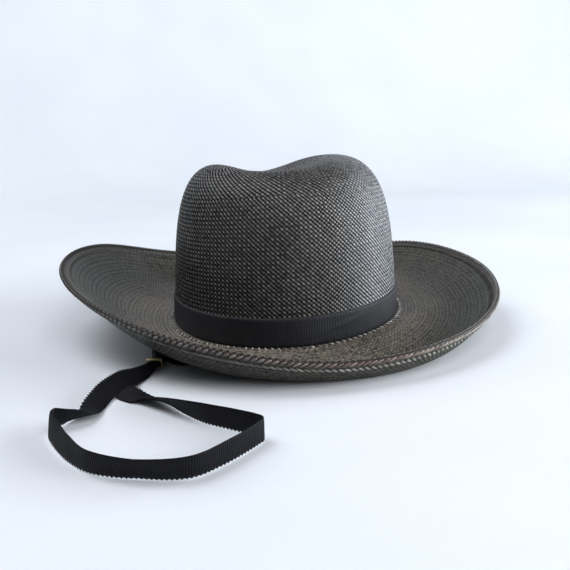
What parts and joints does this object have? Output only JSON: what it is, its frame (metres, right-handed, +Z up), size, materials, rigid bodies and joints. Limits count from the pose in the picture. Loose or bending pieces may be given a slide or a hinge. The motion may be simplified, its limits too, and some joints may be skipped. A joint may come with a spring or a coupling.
{
  "type": "riding hat",
  "caption": "Stiff woven straw riding hat with a pinched crown, rolled brim with plaited edge, ribbon band and a loose ribbon chin strap with slider.",
  "frame": {"origin": "middle of the hat's outline in plan, at the surface that the brim rests on", "axes": "+Z up through the crown, -Y to the hat's front, +X to the right when the front is faced"},
  "size_m": [0.3312, 0.4168, 0.1272],
  "materials": {
    "straw": "dyed woven straw, soft sheen",
    "edge_braid": "dyed plaited straw",
    "band_ribbon": "ribbed grosgrain",
    "strap_ribbon": "ribbed ribbon with a scalloped edge",
    "slider_metal": "polished gold-coloured metal"
  },
  "bodies": {
    "root": {"straw_body": "straw", "brim_edge_braid": "edge_braid", "hat_band": "band_ribbon", "chin_strap": "strap_ribbon", "strap_slider": "slider_metal"}
  },
  "joints": []
}
